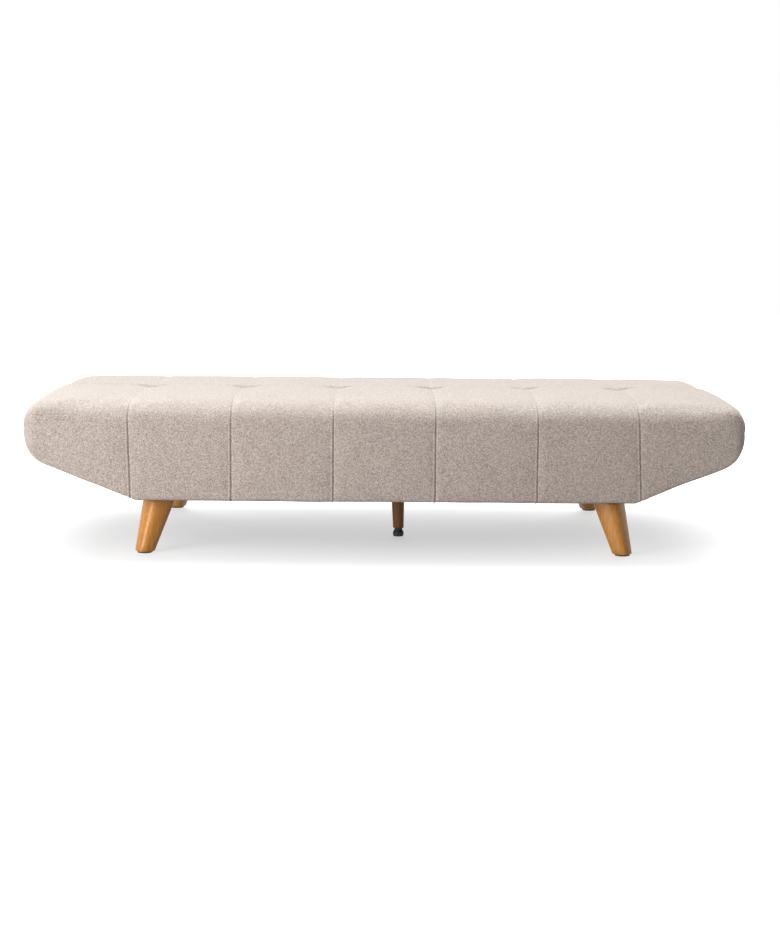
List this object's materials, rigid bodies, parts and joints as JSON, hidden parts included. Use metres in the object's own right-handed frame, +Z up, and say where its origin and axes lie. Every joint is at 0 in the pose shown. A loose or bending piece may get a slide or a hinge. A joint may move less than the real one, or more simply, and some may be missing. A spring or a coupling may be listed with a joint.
{
  "type": "click clack sofa bed",
  "caption": "Upholstered sofa bed with a channel-quilted seat and a back section that turns up on ratchet hinges, on splayed wooden legs.",
  "frame": {"origin": "on the floor under the middle of the sofa when it lies flat as a bed", "axes": "+X along the sofa to the right as seen from the front, +Y towards the back section, +Z up; the front faces -Y"},
  "size_m": [1.98, 1.06, 0.425],
  "materials": {
    "upholstery_fabric": "matte",
    "cushion_foam": "matte",
    "frame_timber": "matte",
    "leg_wood": "satin",
    "underside_cloth": "matte",
    "webbing_strap": "matte",
    "spring_steel": "satin",
    "zinc_steel": "satin",
    "hinge_steel": "satin",
    "black_steel": "satin",
    "glide_nylon": "matte",
    "bumper_rubber": "matte"
  },
  "bodies": {
    "base": {"seat_cover": "upholstery_fabric", "seat_foam_pad": "cushion_foam", "seat_front_board": "frame_timber", "seat_rear_board": "frame_timber", "seat_end_rail_left": "frame_timber", "seat_end_rail_right": "frame_timber", "seat_undercut_board_left": "frame_timber", "seat_undercut_board_right": "frame_timber", "seat_spring_unit": "spring_steel", "seat_underside_cloth": "underside_cloth", "side_beam_left": "frame_timber", "side_beam_right": "frame_timber", "centre_beam": "frame_timber", "rear_cross_rail": "frame_timber", "leg_front_left": "leg_wood", "leg_front_right": "leg_wood", "leg_rear_left": "leg_wood", "leg_rear_right": "leg_wood", "centre_leg": "leg_wood", "leg_plate_front_left": "zinc_steel", "leg_plate_front_right": "zinc_steel", "leg_plate_rear_left": "zinc_steel", "leg_plate_rear_right": "zinc_steel", "leg_bolt_front_left": "zinc_steel", "leg_bolt_front_right": "zinc_steel", "leg_bolt_rear_left": "zinc_steel", "leg_bolt_rear_right": "zinc_steel", "centre_leg_bolt": "zinc_steel", "leg_glide_front_left": "glide_nylon", "leg_glide_front_right": "glide_nylon", "leg_glide_rear_left": "glide_nylon", "leg_glide_rear_right": "glide_nylon", "back_rest_bumper_left": "bumper_rubber", "back_rest_bumper_right": "bumper_rubber", "hinge_seat_arm_left": "hinge_steel", "hinge_seat_arm_right": "hinge_steel", "hinge_pivot_left": "zinc_steel", "hinge_pivot_right": "zinc_steel", "pawl_spring_left": "spring_steel", "pawl_spring_right": "spring_steel", "seat_stud_plate_left": "zinc_steel", "seat_stud_plate_right": "zinc_steel"},
    "backrest": {"back_cover": "upholstery_fabric", "back_foam_pad": "cushion_foam", "back_lower_board": "frame_timber", "back_upper_board": "frame_timber", "back_end_rail_left": "frame_timber", "back_end_rail_right": "frame_timber", "back_hinge_rail_left": "frame_timber", "back_hinge_rail_right": "frame_timber", "back_webbing": "webbing_strap", "back_underside_panel": "upholstery_fabric", "hinge_back_arm_left": "hinge_steel", "hinge_back_arm_right": "hinge_steel", "back_stud_plate_left": "zinc_steel", "back_stud_plate_right": "zinc_steel"},
    "left_pawl": {"hinge_pawl_left": "hinge_steel"},
    "right_pawl": {"hinge_pawl_right": "hinge_steel"},
    "levelling_foot": {"centre_levelling_foot": "black_steel"}
  },
  "joints": [
    {"name": "back_recline", "type": "hinge", "parent": "base", "child": "backrest", "pos_m": [0, 0.07, 0.391], "axis": [1, 0, 0], "range_deg": [0, 76]},
    {"name": "left_pawl_swing", "type": "hinge", "parent": "base", "child": "left_pawl", "pos_m": [-0.6529, 0.02568, 0.38319], "axis": [1, 0, 0], "range_deg": [-8, 5.5]},
    {"name": "right_pawl_swing", "type": "hinge", "parent": "base", "child": "right_pawl", "pos_m": [0.6529, 0.02568, 0.38319], "axis": [1, 0, 0], "range_deg": [-8, 5.5]},
    {"name": "levelling_foot_screw", "type": "slide", "parent": "base", "child": "levelling_foot", "axis": [0, 0, -1], "range_m": [0, 0.01]}
  ]
}
